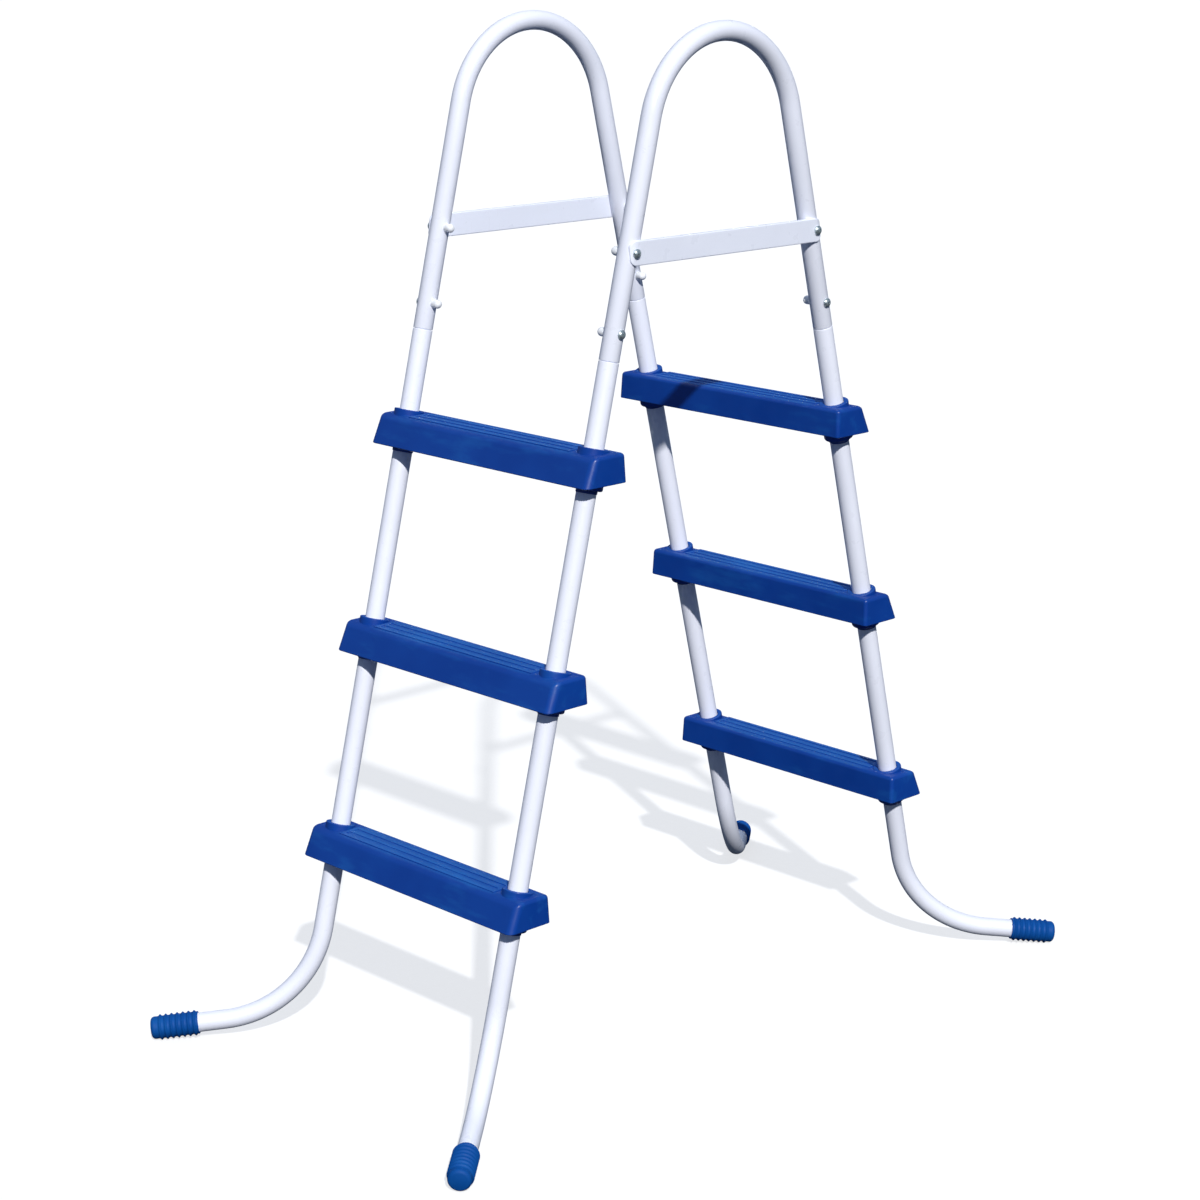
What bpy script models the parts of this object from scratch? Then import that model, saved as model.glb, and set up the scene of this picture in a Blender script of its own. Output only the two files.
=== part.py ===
"""An above-ground pool ladder: two U-shaped handrails over four splayed legs, a brace bar on
each side, three moulded treads on each ladder, ribbed foot caps, and the bolts, nuts, nut caps
and screws that hold them together.

X runs along the treads, Y across the pool wall that the ladder straddles, and Z is up. The
origin is on the ground, midway between the four feet. Lengths are in metres.
"""

import math

import bmesh
import bpy
from mathutils import Matrix, Vector

TUBE_R = 0.0127
TUBE_WALL = 0.0012
TUBE_SIDE_STEPS = 4
RUNNING_GAP = 0.0007
TOUCH_GAP = 0.0003

# The side frames: both lean inwards as they rise, and lie in planes of constant X.
RAIL_X = 0.1727
SPREAD_AT_GROUND = 0.4173
SPREAD_PER_RISE = 0.243
ARCH_R = 0.1275
ARCH_STEPS = 14
SEAM_Z = 0.9203
JOINT_BOLT_Z = 0.9533
BRACE_BOLT_Z = 1.0489

# The reduced top of each leg, which nests in the handrail above it.
SPIGOT_R = 0.0104
SPIGOT_LENGTH = 0.062
SHOULDER_LENGTH = 0.0012
SHOULDER_SCALE = 0.98

# The foot: a bend from the leaning leg to a nearly level run, splayed out between X and Y.
FOOT_BEND_R = 0.1486
FOOT_BEND_STEPS = 8
FOOT_RUN = 0.1000
FOOT_SPLAY = math.radians(40.4)
FOOT_DROOP = math.radians(6.1)

CAP_LENGTH = 0.0640
CAP_R = 0.0148
CAP_RIB_R = 0.0168
CAP_RIBS = 7
CAP_RIB_PITCH = 0.0075
CAP_NOSE = 0.0100
CAP_NOSE_ROUND = 0.0030
CAP_FLOOR = 0.0030
CAP_SIDES = 12

BAR_HALF_LENGTH = 0.1705
BAR_HEIGHT = 0.0300
BAR_THICK = 0.0070
BAR_PROUD = 0.0025
BAR_EDGE_R = 0.0025
BAR_CORNER_R = 0.0080
BAR_CORNER_STEPS = 3
SADDLE_SIDES = 20

TREADS = 3
TREAD_FIRST_Z = 0.2788
TREAD_PITCH = 0.2670
TREAD_HEIGHT = 0.0370
TREAD_TOP_HALF_X = 0.2028
TREAD_RIM_HALF_X = 0.2042
TREAD_TOP_INNER_Y = -0.0255
TREAD_TOP_OUTER_Y = 0.0253
TREAD_RIM_INNER_Y = -0.0273
TREAD_RIM_OUTER_Y = 0.0409
TREAD_WALL = 0.0026
TREAD_EDGE_R = 0.0055
EDGE_STEPS = 2
COLLAR_R = 0.0194
COLLAR_ABOVE = 0.0042
COLLAR_BELOW = 0.0452
COLLAR_SIDES = 12
RIBS = 3
RIB_PITCH = 0.0131
RIB_MIDDLE_Y = 0.0034
RIB_WIDTH = 0.0064
RIB_HEIGHT = 0.0010
RIB_HALF_X = 0.1510
WEB_XS = (-0.075, 0.0, 0.075)
WEB_THICK = 0.0020
WEB_DROP = 0.0105
WEB_INSET = 0.8 * TREAD_EDGE_R

BOLT_R = 0.00245
BOLT_HOLE_R = 0.0030
BOLT_HEAD_R = 0.0058
BOLT_HEAD_HEIGHT = 0.0048
BOLT_HEAD_RIM = 0.0018
BOLT_CROWN_R = 0.0036
BOLT_CROWN_HEIGHT = 0.0042
BOLT_PAST_NUT = 0.0025
NUT_ACROSS_FLATS = 0.0080
NUT_THICK = 0.0040
NUT_BORE_R = 0.0030
NUT_CAP_R = 0.0057
NUT_CAP_CAVITY_R = 0.0049
NUT_CAP_LENGTH = 0.0128
NUT_CAP_CAVITY = 0.0085
NUT_CAP_DOME_ANGLES = (math.radians(35), math.radians(65))
FASTENER_SIDES = 10
HOLE_SIDES = 8

SCREW_R = 0.0020
SCREW_HOLE_R = 0.0025
SCREW_LENGTH = 0.0125
SCREW_POINT = 0.0025
SCREW_HEAD_R = 0.0037
SCREW_CROWN_R = 0.0026
SCREW_CROWN_HEIGHT = 0.0019
SCREW_HEAD_HEIGHT = 0.0024
SCREW_BELOW_TREAD = 0.0200

SIDES = (("left", -1), ("right", 1))
LADDERS = (("front", -1), ("back", 1))
LEAN = math.atan(SPREAD_PER_RISE)
SMOOTH_BELOW = math.radians(35)
ROUNDED_ABOVE = math.radians(40)
PARTS = "pool_ladder"
CUTTERS = "pool_ladder_cutters"


def clear_scene():
    for obj in list(bpy.data.objects):
        bpy.data.objects.remove(obj)


def new_collection(name):
    collection = bpy.data.collections.new(name)
    bpy.context.scene.collection.children.link(collection)
    return collection


def new_material(name, color, roughness, metallic):
    material = bpy.data.materials.new(name)
    material.use_nodes = True
    shader = material.node_tree.nodes["Principled BSDF"]
    shader.inputs["Base Color"].default_value = (*color, 1.0)
    shader.inputs["Roughness"].default_value = roughness
    shader.inputs["Metallic"].default_value = metallic
    return material


def add_part(name, mesh, material, matrix=Matrix()):
    """An object in the ladder's collection, shaded smooth but for its sharp edges."""
    obj = bpy.data.objects.new(name, mesh)
    obj.matrix_world = matrix
    bpy.data.collections[PARTS].objects.link(obj)
    if not mesh.materials:
        mesh.materials.append(material)
    mesh.shade_smooth()
    mesh.set_sharp_from_angle(angle=SMOOTH_BELOW)
    return obj


def add_cutter(name, mesh, matrix=Matrix()):
    obj = bpy.data.objects.new(name, mesh)
    obj.matrix_world = matrix
    obj.hide_render = True
    obj.display_type = "WIRE"
    bpy.data.collections[CUTTERS].objects.link(obj)
    return obj


def boolean(obj, other, operation):
    modifier = obj.modifiers.new(other.name, "BOOLEAN")
    modifier.operation = operation
    modifier.solver = "EXACT"
    modifier.object = other


def baked(obj):
    """The object's shape with its modifiers applied, as a mesh that several objects can share."""
    bpy.context.view_layer.update()
    graph = bpy.context.evaluated_depsgraph_get()
    mesh = bpy.data.meshes.new_from_object(obj.evaluated_get(graph))
    mesh.name = obj.name
    bpy.data.objects.remove(obj)
    return mesh


def block(name, lows, highs):
    """A box between two corners."""
    shape = bmesh.new()
    bmesh.ops.create_cube(shape, size=1.0)
    size = Vector(highs) - Vector(lows)
    bmesh.ops.scale(shape, vec=size, verts=shape.verts)
    bmesh.ops.translate(shape, vec=(Vector(highs) + Vector(lows)) / 2, verts=shape.verts)
    return finished_mesh(shape, name)


def rod(name, radius, start, end, sides):
    """A plain cylinder between two points."""
    start = Vector(start)
    end = Vector(end)
    shape = bmesh.new()
    bmesh.ops.create_cone(
        shape,
        cap_ends=True,
        segments=sides,
        radius1=radius,
        radius2=radius,
        depth=(end - start).length,
    )
    turn = (end - start).to_track_quat("Z", "Y").to_matrix().to_4x4()
    bmesh.ops.transform(shape, matrix=Matrix.Translation((start + end) / 2) @ turn, verts=shape.verts)
    return finished_mesh(shape, name)


def finished_mesh(shape, name):
    mesh = bpy.data.meshes.new(name)
    shape.to_mesh(mesh)
    shape.free()
    return mesh


def turned(name, profile, sides):
    """A solid of revolution about Z. The profile is (radius, height) points down the outer side."""
    shape = bmesh.new()
    points = [shape.verts.new((radius, 0.0, height)) for radius, height in profile]
    for upper, lower in zip(points, points[1:]):
        shape.edges.new((upper, lower))
    guide = add_cutter(name, finished_mesh(shape, name))
    screw = guide.modifiers.new("turn", "SCREW")
    screw.axis = "Z"
    screw.steps = sides
    screw.render_steps = sides
    screw.use_merge_vertices = True
    screw.merge_threshold = 0.00001
    return baked(guide)


def tube(name, points, scales, material):
    """A hollow tube along a path: an open round skin, thickened inwards. Its ends are open."""
    curve = bpy.data.curves.new(name, "CURVE")
    curve.dimensions = "3D"
    curve.bevel_depth = TUBE_R
    curve.bevel_resolution = TUBE_SIDE_STEPS
    curve.use_fill_caps = False
    spline = curve.splines.new("POLY")
    spline.points.add(len(points) - 1)
    for knot, point, scale in zip(spline.points, points, scales):
        knot.co = (*point, 1.0)
        knot.radius = scale
    mesh = baked(add_cutter(name, curve))
    mesh.name = name
    mesh.materials.clear()
    obj = add_part(name, mesh, material)
    wall = obj.modifiers.new("wall", "SOLIDIFY")
    wall.thickness = TUBE_WALL
    wall.offset = -1.0
    wall.use_even_offset = True
    return obj


def spread(height):
    """How far a leg's centre line stands from the middle plane at a height."""
    return SPREAD_AT_GROUND - SPREAD_PER_RISE * height


def on_leg(x_sign, y_sign, height):
    return Vector((x_sign * RAIL_X, y_sign * spread(height), height))


def arch_points():
    """(y, z) along the handrail's arch, from the front tangent point over to the back one."""
    centre = (SPREAD_AT_GROUND - ARCH_R / math.cos(LEAN)) / SPREAD_PER_RISE
    first = math.pi - LEAN
    points = []
    for step in range(ARCH_STEPS + 1):
        angle = first + (LEAN - first) * step / ARCH_STEPS
        points.append((ARCH_R * math.cos(angle), centre + ARCH_R * math.sin(angle)))
    return points


def foot_points(x_sign, y_sign):
    """The foot's centre line from the start of its bend to the end of its level run.

    Worked out for a bend that starts at the origin, and then set at the height that brings
    the cap's lowest rib down to the ground.
    """
    down = Vector((0.0, y_sign * math.sin(LEAN), -math.cos(LEAN)))
    level = math.cos(FOOT_DROOP)
    out = Vector(
        (
            x_sign * level * math.sin(FOOT_SPLAY),
            y_sign * level * math.cos(FOOT_SPLAY),
            -math.sin(FOOT_DROOP),
        )
    )
    turn = down.angle(out)
    towards_centre = (out - down * down.dot(out)).normalized()
    bend = []
    for step in range(FOOT_BEND_STEPS + 1):
        angle = turn * step / FOOT_BEND_STEPS
        sideways = towards_centre * (1.0 - math.cos(angle))
        bend.append(FOOT_BEND_R * (sideways + down * math.sin(angle)))
    bend.append(bend[-1] + out * FOOT_RUN)
    first_rib = CAP_NOSE + CAP_RIB_PITCH / 2
    lowest = bend[-1].z + first_rib * math.sin(FOOT_DROOP) - CAP_RIB_R * math.cos(FOOT_DROOP)
    start = on_leg(x_sign, y_sign, -lowest)
    return [start + point for point in bend], out


def make_handrail(side, x_sign, paint):
    front = on_leg(x_sign, -1, SEAM_Z)
    back = on_leg(x_sign, 1, SEAM_Z)
    arch = [Vector((x_sign * RAIL_X, y, z)) for y, z in arch_points()]
    points = [front, *arch, back]
    return tube(f"{side}_handrail", points, [1.0] * len(points), paint)


def make_leg(ladder, y_sign, side, x_sign, paint):
    """A leg tube: a reduced spigot, a shoulder at the seam, the long run, and the foot's bend."""
    rise = math.cos(LEAN)
    full = SEAM_Z - TOUCH_GAP - SHOULDER_LENGTH
    heights = (SEAM_Z + SPIGOT_LENGTH * rise, SEAM_Z - TOUCH_GAP, full, full - SHOULDER_LENGTH)
    foot, out = foot_points(x_sign, y_sign)
    foot[-1] = foot[-1] - out * (CAP_FLOOR + RUNNING_GAP)
    spigot = SPIGOT_R / TUBE_R
    points = [on_leg(x_sign, y_sign, height) for height in heights] + foot
    scales = [spigot, spigot, SHOULDER_SCALE, 1.0] + [1.0] * len(foot)
    return tube(f"{ladder}_{side}_leg", points, scales, paint)


def cap_profile():
    """A ribbed cup, closed at the top of its profile, whose mouth is at height 0."""
    nose = CAP_LENGTH - CAP_NOSE_ROUND
    bore = TUBE_R + RUNNING_GAP
    profile = [(0.0, CAP_LENGTH), (CAP_R - CAP_NOSE_ROUND, CAP_LENGTH), (CAP_R, nose)]
    for rib in range(CAP_RIBS):
        crest = CAP_LENGTH - CAP_NOSE - CAP_RIB_PITCH * (rib + 0.5)
        profile.append((CAP_R, crest + CAP_RIB_PITCH / 2))
        profile.append((CAP_RIB_R, crest))
    profile += [(CAP_R, 0.0), (bore, 0.0), (bore, CAP_LENGTH - CAP_FLOOR), (0.0, CAP_LENGTH - CAP_FLOOR)]
    return profile


def make_foot_cap(ladder, y_sign, side, x_sign, mesh, plastic):
    foot, out = foot_points(x_sign, y_sign)
    across = Vector((0.0, 0.0, 1.0)).cross(out).normalized()
    turn = Matrix((across, out.cross(across), out)).transposed().to_4x4()
    mouth = foot[-1] - out * CAP_LENGTH
    add_part(f"{ladder}_{side}_foot_cap", mesh, plastic, Matrix.Translation(mouth) @ turn)


def bolt_mesh(name, grip):
    """A round-headed bolt along -Z: its head's seat is at height 0, and it passes the grip and nut."""
    tip = -(grip + NUT_THICK + BOLT_PAST_NUT)
    profile = [
        (0.0, BOLT_HEAD_HEIGHT),
        (BOLT_CROWN_R, BOLT_CROWN_HEIGHT),
        (BOLT_HEAD_R, BOLT_HEAD_RIM),
        (BOLT_HEAD_R, 0.0),
        (BOLT_R, 0.0),
        (BOLT_R, tip),
        (0.0, tip),
    ]
    return turned(name, profile, FASTENER_SIDES)


def nut_mesh():
    shape = bmesh.new()
    bmesh.ops.create_cone(
        shape,
        cap_ends=True,
        segments=6,
        radius1=NUT_ACROSS_FLATS / math.sqrt(3),
        radius2=NUT_ACROSS_FLATS / math.sqrt(3),
        depth=NUT_THICK,
    )
    bmesh.ops.translate(shape, vec=(0.0, 0.0, -NUT_THICK / 2), verts=shape.verts)
    nut = add_cutter("steel_nut", finished_mesh(shape, "steel_nut"))
    ends = ((0.0, 0.0, -2 * NUT_THICK), (0.0, 0.0, NUT_THICK))
    bore = add_cutter("nut_bore", rod("nut_bore", NUT_BORE_R, *ends, HOLE_SIDES))
    boolean(nut, bore, "DIFFERENCE")
    mesh = baked(nut)
    bpy.data.objects.remove(bore)
    return mesh


def nut_cap_mesh():
    """A domed cup over a nut: its mouth is at height 0, and its dome is at the bottom."""
    straight = NUT_CAP_LENGTH - NUT_CAP_R
    profile = [(0.0, -NUT_CAP_CAVITY), (NUT_CAP_CAVITY_R, -NUT_CAP_CAVITY), (NUT_CAP_CAVITY_R, 0.0)]
    profile += [(NUT_CAP_R, 0.0), (NUT_CAP_R, -straight)]
    for angle in NUT_CAP_DOME_ANGLES:
        profile.append((NUT_CAP_R * math.cos(angle), -straight - NUT_CAP_R * math.sin(angle)))
    profile.append((0.0, -NUT_CAP_LENGTH))
    return turned("nut_cap", profile, FASTENER_SIDES)


def screw_mesh():
    profile = [
        (0.0, SCREW_HEAD_HEIGHT),
        (SCREW_CROWN_R, SCREW_CROWN_HEIGHT),
        (SCREW_HEAD_R, 0.0),
        (SCREW_R, 0.0),
        (SCREW_R, SCREW_POINT - SCREW_LENGTH),
        (0.0, -SCREW_LENGTH),
    ]
    return turned("tread_screw", profile, HOLE_SIDES)


def outward(x_sign):
    """Turns Z to point away from the middle plane along X."""
    return Matrix.Rotation(x_sign * math.pi / 2, 4, "Y")


def drill(obj, point, x_sign, reach, radius):
    """Cuts a round hole along X, to the given reach on both sides of a point."""
    along = Vector((x_sign * reach, 0.0, 0.0))
    name = f"{obj.name}_hole_{len(obj.modifiers)}"
    hole = rod(name, radius, point - along, point + along, HOLE_SIDES)
    boolean(obj, add_cutter(name, hole), "DIFFERENCE")


def make_fastener(name, centre, x_sign, seat, bolt, nut, nut_cap, steel, white):
    """A bolt through a tube along X, with its nut and the cap over the nut on the inner side."""
    turn = outward(x_sign)
    head = centre + Vector((x_sign * (TUBE_R + seat + TOUCH_GAP), 0.0, 0.0))
    inner = centre - Vector((x_sign * (TUBE_R + TOUCH_GAP), 0.0, 0.0))
    add_part(f"{name}_bolt", bolt, steel, Matrix.Translation(head) @ turn)
    add_part(f"{name}_nut", nut, steel, Matrix.Translation(inner) @ turn)
    add_part(f"{name}_nut_cap", nut_cap, white, Matrix.Translation(inner) @ turn)


def make_brace_bar(side, x_sign, paint):
    """A flat bar with rounded edges on the outer side of a side frame, saddled onto its tubes."""
    outer = x_sign * (RAIL_X + TUBE_R + BAR_PROUD)
    inner = outer - x_sign * BAR_THICK
    lows = (min(inner, outer), -BAR_HALF_LENGTH, BRACE_BOLT_Z - BAR_HEIGHT / 2)
    highs = (max(inner, outer), BAR_HALF_LENGTH, BRACE_BOLT_Z + BAR_HEIGHT / 2)
    mesh = block(f"{side}_brace_bar", lows, highs)
    shape = bmesh.new()
    shape.from_mesh(mesh)
    ends = [edge for edge in shape.edges if abs((edge.verts[0].co - edge.verts[1].co).x) > BAR_THICK / 2]
    bmesh.ops.bevel(
        shape,
        geom=ends,
        offset=BAR_CORNER_R,
        segments=BAR_CORNER_STEPS,
        profile=0.5,
        affect="EDGES",
    )
    shape.to_mesh(mesh)
    shape.free()
    bar = add_part(f"{side}_brace_bar", mesh, paint)
    edges = bar.modifiers.new("edges", "BEVEL")
    edges.width = BAR_EDGE_R
    edges.segments = EDGE_STEPS
    edges.limit_method = "ANGLE"
    edges.angle_limit = ROUNDED_ABOVE
    for ladder, y_sign in LADDERS:
        name = f"{side}_{ladder}_saddle"
        below = on_leg(x_sign, y_sign, BRACE_BOLT_Z - 2 * BAR_HEIGHT)
        above = on_leg(x_sign, y_sign, BRACE_BOLT_Z + 2 * BAR_HEIGHT)
        saddle = rod(name, TUBE_R + RUNNING_GAP, below, above, SADDLE_SIDES)
        boolean(bar, add_cutter(name, saddle), "DIFFERENCE")
        hole = on_leg(x_sign, y_sign, BRACE_BOLT_Z) + Vector((x_sign * TUBE_R, 0.0, 0.0))
        drill(bar, hole, x_sign, 2 * BAR_THICK, BOLT_HOLE_R)


def tread_shell():
    """The tapered box of a tread, open below. Y points outwards, and Z = 0 is its top face."""
    shape = bmesh.new()
    bmesh.ops.create_cube(shape, size=2.0)
    for vert in shape.verts:
        top = vert.co.z > 0
        outer = vert.co.y > 0
        half = TREAD_TOP_HALF_X if top else TREAD_RIM_HALF_X
        if top:
            y = TREAD_TOP_OUTER_Y if outer else TREAD_TOP_INNER_Y
        else:
            y = TREAD_RIM_OUTER_Y if outer else TREAD_RIM_INNER_Y
        vert.co = (math.copysign(half, vert.co.x), y, 0.0 if top else -TREAD_HEIGHT)
    floor = [face for face in shape.faces if all(vert.co.z < 0.0 for vert in face.verts)]
    bmesh.ops.delete(shape, geom=floor, context="FACES_ONLY")
    shell = add_cutter("tread", finished_mesh(shape, "tread"))
    corners = shell.modifiers.new("corners", "BEVEL")
    corners.width = TREAD_EDGE_R
    corners.segments = EDGE_STEPS
    corners.limit_method = "ANGLE"
    corners.angle_limit = ROUNDED_ABOVE
    wall = shell.modifiers.new("wall", "SOLIDIFY")
    wall.thickness = TREAD_WALL
    wall.offset = -1.0
    return shell


def tread_collar(x_sign, radius, above, below):
    """A cylinder round the leg's centre line, in the tread's own frame."""
    axis = Vector((0.0, -math.sin(LEAN), math.cos(LEAN)))
    middle = Vector((x_sign * RAIL_X, 0.0, 0.0))
    top = middle + axis * (above / math.cos(LEAN))
    bottom = middle - axis * (below / math.cos(LEAN))
    return rod("collar", radius, bottom, top, COLLAR_SIDES)


def tread_mesh():
    """A tread: the shell, its tread ribs, the webs under them, and the collars with their bores."""
    shell = tread_shell()
    helpers = []

    def join(name, mesh, operation):
        helpers.append(add_cutter(name, mesh))
        boolean(shell, helpers[-1], operation)

    for number in range(RIBS):
        y = RIB_MIDDLE_Y + RIB_PITCH * (number - (RIBS - 1) / 2)
        low = (-RIB_HALF_X, y - RIB_WIDTH / 2, -TREAD_WALL / 2)
        high = (RIB_HALF_X, y + RIB_WIDTH / 2, RIB_HEIGHT)
        join(f"rib_{number}", block("rib", low, high), "UNION")
    reach = (RIB_PITCH * (RIBS - 1) + RIB_WIDTH) / 2
    for side, x_sign in SIDES:
        ends = sorted((x_sign * RIB_HALF_X, x_sign * (RIB_HALF_X - RIB_WIDTH)))
        low = (ends[0], RIB_MIDDLE_Y - reach, -TREAD_WALL / 2)
        high = (ends[1], RIB_MIDDLE_Y + reach, RIB_HEIGHT)
        join(f"{side}_rib_end", block("rib_end", low, high), "UNION")
    for number, x in enumerate(WEB_XS):
        low = (x - WEB_THICK / 2, TREAD_TOP_INNER_Y + WEB_INSET, -WEB_DROP)
        high = (x + WEB_THICK / 2, TREAD_TOP_OUTER_Y - WEB_INSET, -TREAD_WALL / 2)
        join(f"web_{number}", block("web", low, high), "UNION")
    for side, x_sign in SIDES:
        collar = tread_collar(x_sign, COLLAR_R, COLLAR_ABOVE, COLLAR_BELOW)
        join(f"{side}_collar", collar, "UNION")
        bore = tread_collar(x_sign, TUBE_R + RUNNING_GAP, 2 * COLLAR_BELOW, 2 * COLLAR_BELOW)
        join(f"{side}_bore", bore, "DIFFERENCE")
        seat = screw_seat(x_sign)
        along = Vector((x_sign * (COLLAR_R - TUBE_R / 2), 0.0, 0.0))
        hole = rod("screw_hole", SCREW_HOLE_R, seat - along / 4, seat + along, HOLE_SIDES)
        join(f"{side}_screw_hole", hole, "DIFFERENCE")
    mesh = baked(shell)
    for helper in helpers:
        bpy.data.objects.remove(helper)
    return mesh


def screw_seat(x_sign):
    """Where a tread screw's head bears on the collar's inboard side, in the tread's own frame."""
    return Vector((x_sign * (RAIL_X - COLLAR_R), SPREAD_PER_RISE * SCREW_BELOW_TREAD, -SCREW_BELOW_TREAD))


def make_tread(ladder, y_sign, number, mesh, screw, plastic, steel, legs):
    top = TREAD_FIRST_Z + TREAD_PITCH * number
    turn = Matrix.Rotation(0.0 if y_sign > 0 else math.pi, 4, "Z")
    place = Matrix.Translation((0.0, y_sign * spread(top), top)) @ turn
    name = f"{ladder}_tread_{number + 1}"
    add_part(name, mesh, plastic, place)
    for side, x_sign in SIDES:
        seat = on_leg(x_sign, y_sign, top - SCREW_BELOW_TREAD)
        hole = seat - Vector((x_sign * TUBE_R, 0.0, 0.0))
        drill(legs[ladder, side], hole, x_sign, TUBE_R / 2, SCREW_HOLE_R)
        seat.x = x_sign * (RAIL_X - COLLAR_R - TOUCH_GAP)
        add_part(f"{name}_{side}_screw", screw, steel, Matrix.Translation(seat) @ outward(-x_sign))


def build():
    clear_scene()
    new_collection(PARTS)
    new_collection(CUTTERS)
    paint = new_material("white_paint", (0.82, 0.83, 0.90), 0.28, 0.0)
    blue = new_material("blue_plastic", (0.010, 0.075, 0.330), 0.32, 0.0)
    blue_cap = new_material("blue_cap_plastic", (0.006, 0.085, 0.360), 0.40, 0.0)
    white = new_material("white_plastic", (0.80, 0.82, 0.86), 0.30, 0.0)
    steel = new_material("zinc_plated_steel", (0.45, 0.48, 0.50), 0.30, 1.0)

    foot_cap = turned("foot_cap", cap_profile(), CAP_SIDES)
    joint_bolt = bolt_mesh("joint_bolt", 2 * TUBE_R + 2 * TOUCH_GAP)
    brace_bolt = bolt_mesh("brace_bolt", 2 * TUBE_R + BAR_PROUD + 2 * TOUCH_GAP)
    nut = nut_mesh()
    nut_cap = nut_cap_mesh()
    screw = screw_mesh()
    tread = tread_mesh()

    legs = {}
    for side, x_sign in SIDES:
        handrail = make_handrail(side, x_sign, paint)
        make_brace_bar(side, x_sign, paint)
        for ladder, y_sign in LADDERS:
            leg = make_leg(ladder, y_sign, side, x_sign, paint)
            legs[ladder, side] = leg
            make_foot_cap(ladder, y_sign, side, x_sign, foot_cap, blue_cap)
            joint = on_leg(x_sign, y_sign, JOINT_BOLT_Z)
            brace = on_leg(x_sign, y_sign, BRACE_BOLT_Z)
            for tube_part, centre in ((handrail, joint), (handrail, brace), (leg, joint)):
                drill(tube_part, centre, x_sign, 2 * TUBE_R, BOLT_HOLE_R)
            shared = (nut, nut_cap, steel, white)
            make_fastener(f"{ladder}_{side}_joint", joint, x_sign, 0.0, joint_bolt, *shared)
            make_fastener(f"{ladder}_{side}_brace", brace, x_sign, BAR_PROUD, brace_bolt, *shared)
    for ladder, y_sign in LADDERS:
        for number in range(TREADS):
            make_tread(ladder, y_sign, number, tread, screw, blue, steel, legs)


build()
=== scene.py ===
"""The looks of an above-ground pool ladder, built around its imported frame.

Smooth tubes, pressed brace bars, moulded treads and foot caps, and turned fasteners stand for the
frame's plain solids. X runs along the treads, Y across the pool wall and Z up, in metres.
"""

import math

import bmesh
import bpy
from mathutils import Matrix, Vector


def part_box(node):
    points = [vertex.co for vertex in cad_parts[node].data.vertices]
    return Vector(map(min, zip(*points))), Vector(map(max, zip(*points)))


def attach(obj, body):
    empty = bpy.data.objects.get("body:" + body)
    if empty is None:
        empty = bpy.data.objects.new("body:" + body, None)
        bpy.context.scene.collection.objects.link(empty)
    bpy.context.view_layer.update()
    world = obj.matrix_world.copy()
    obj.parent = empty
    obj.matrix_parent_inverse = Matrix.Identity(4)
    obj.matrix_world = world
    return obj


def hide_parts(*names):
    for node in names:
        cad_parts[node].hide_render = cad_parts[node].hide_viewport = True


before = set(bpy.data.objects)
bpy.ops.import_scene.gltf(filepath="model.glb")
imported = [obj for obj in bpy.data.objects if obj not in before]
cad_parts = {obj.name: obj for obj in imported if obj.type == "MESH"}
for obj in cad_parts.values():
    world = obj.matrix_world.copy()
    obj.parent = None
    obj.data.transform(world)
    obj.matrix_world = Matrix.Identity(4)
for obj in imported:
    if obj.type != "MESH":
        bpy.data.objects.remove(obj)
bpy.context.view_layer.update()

SIDES = (("left", -1), ("right", 1))
LADDERS = (("front", -1), ("back", 1))
BODY = "root"
SMOOTH_BELOW = math.radians(32)
MERGE_WITHIN = 0.000001


def centre(node):
    low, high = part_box(node)
    return (low + high) / 2


# What the frame says: the tubes' lines, the bolts' places and the treads' heights.
RAIL_LOW, RAIL_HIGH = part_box("right_handrail")
TUBE_R = (RAIL_HIGH.x - RAIL_LOW.x) / 2
RAIL_X = (RAIL_HIGH.x + RAIL_LOW.x) / 2
JOINT = centre("back_right_joint_bolt")
BRACE = centre("back_right_brace_bolt")
SPREAD_PER_RISE = (JOINT.y - BRACE.y) / (BRACE.z - JOINT.z)
SPREAD_AT_GROUND = BRACE.y + SPREAD_PER_RISE * BRACE.z
LEAN = math.atan(SPREAD_PER_RISE)
SEAM_Z = RAIL_LOW.z + TUBE_R * math.sin(LEAN)
RIDGE_Z = SPREAD_AT_GROUND / SPREAD_PER_RISE
ARCH_R = (RIDGE_Z + TUBE_R - RAIL_HIGH.z) / (1 / math.sin(LEAN) - 1)
BAR_LOW, BAR_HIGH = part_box("right_brace_bar")
SCREW_BELOW_TREAD = 0.0200
TREAD_TOPS = [centre(f"back_tread_{n}_right_screw").z + SCREW_BELOW_TREAD for n in (1, 2, 3)]

# Tubes.
TUBE_WALL = 0.0012
TUBE_SIDES = 56
ARCH_STEPS = 72
SEAM_GAP = 0.0005
END_ROUND = 0.0005
END_STEPS = 3
SPIGOT_R = 0.0104
SPIGOT_LENGTH = 0.062
SHOULDER_R = 0.0011
SHOULDER_STEPS = 5
SHOULDER_START = 0.00002

# Feet.
FOOT_BEND_R = 0.1486
FOOT_BEND_STEPS = 28
FOOT_RUN = 0.1000
FOOT_SPLAY = math.radians(40.4)
FOOT_DROOP = math.radians(6.1)

# Foot caps.
CAP_LENGTH = 0.0640
CAP_R = 0.0148
CAP_RIB_R = 0.0168
CAP_RIBS = 7
CAP_RIB_PITCH = 0.0075
CAP_RIB_STEPS = 12
CAP_RIB_HALF_SHARE = 0.34
CAP_GROOVE_DEPTH = 0.00016
CAP_GROOVE_SHARE = 0.08
CAP_NOSE = 0.0100
CAP_NOSE_ROUND = 0.0052
CAP_NOSE_CROWN = 0.0010
CAP_NOSE_BLEND_DEGREES = 5
CAP_WALL_GAP = 0.0004
CAP_FLOOR = 0.0030
CAP_SIDES = 72


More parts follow.
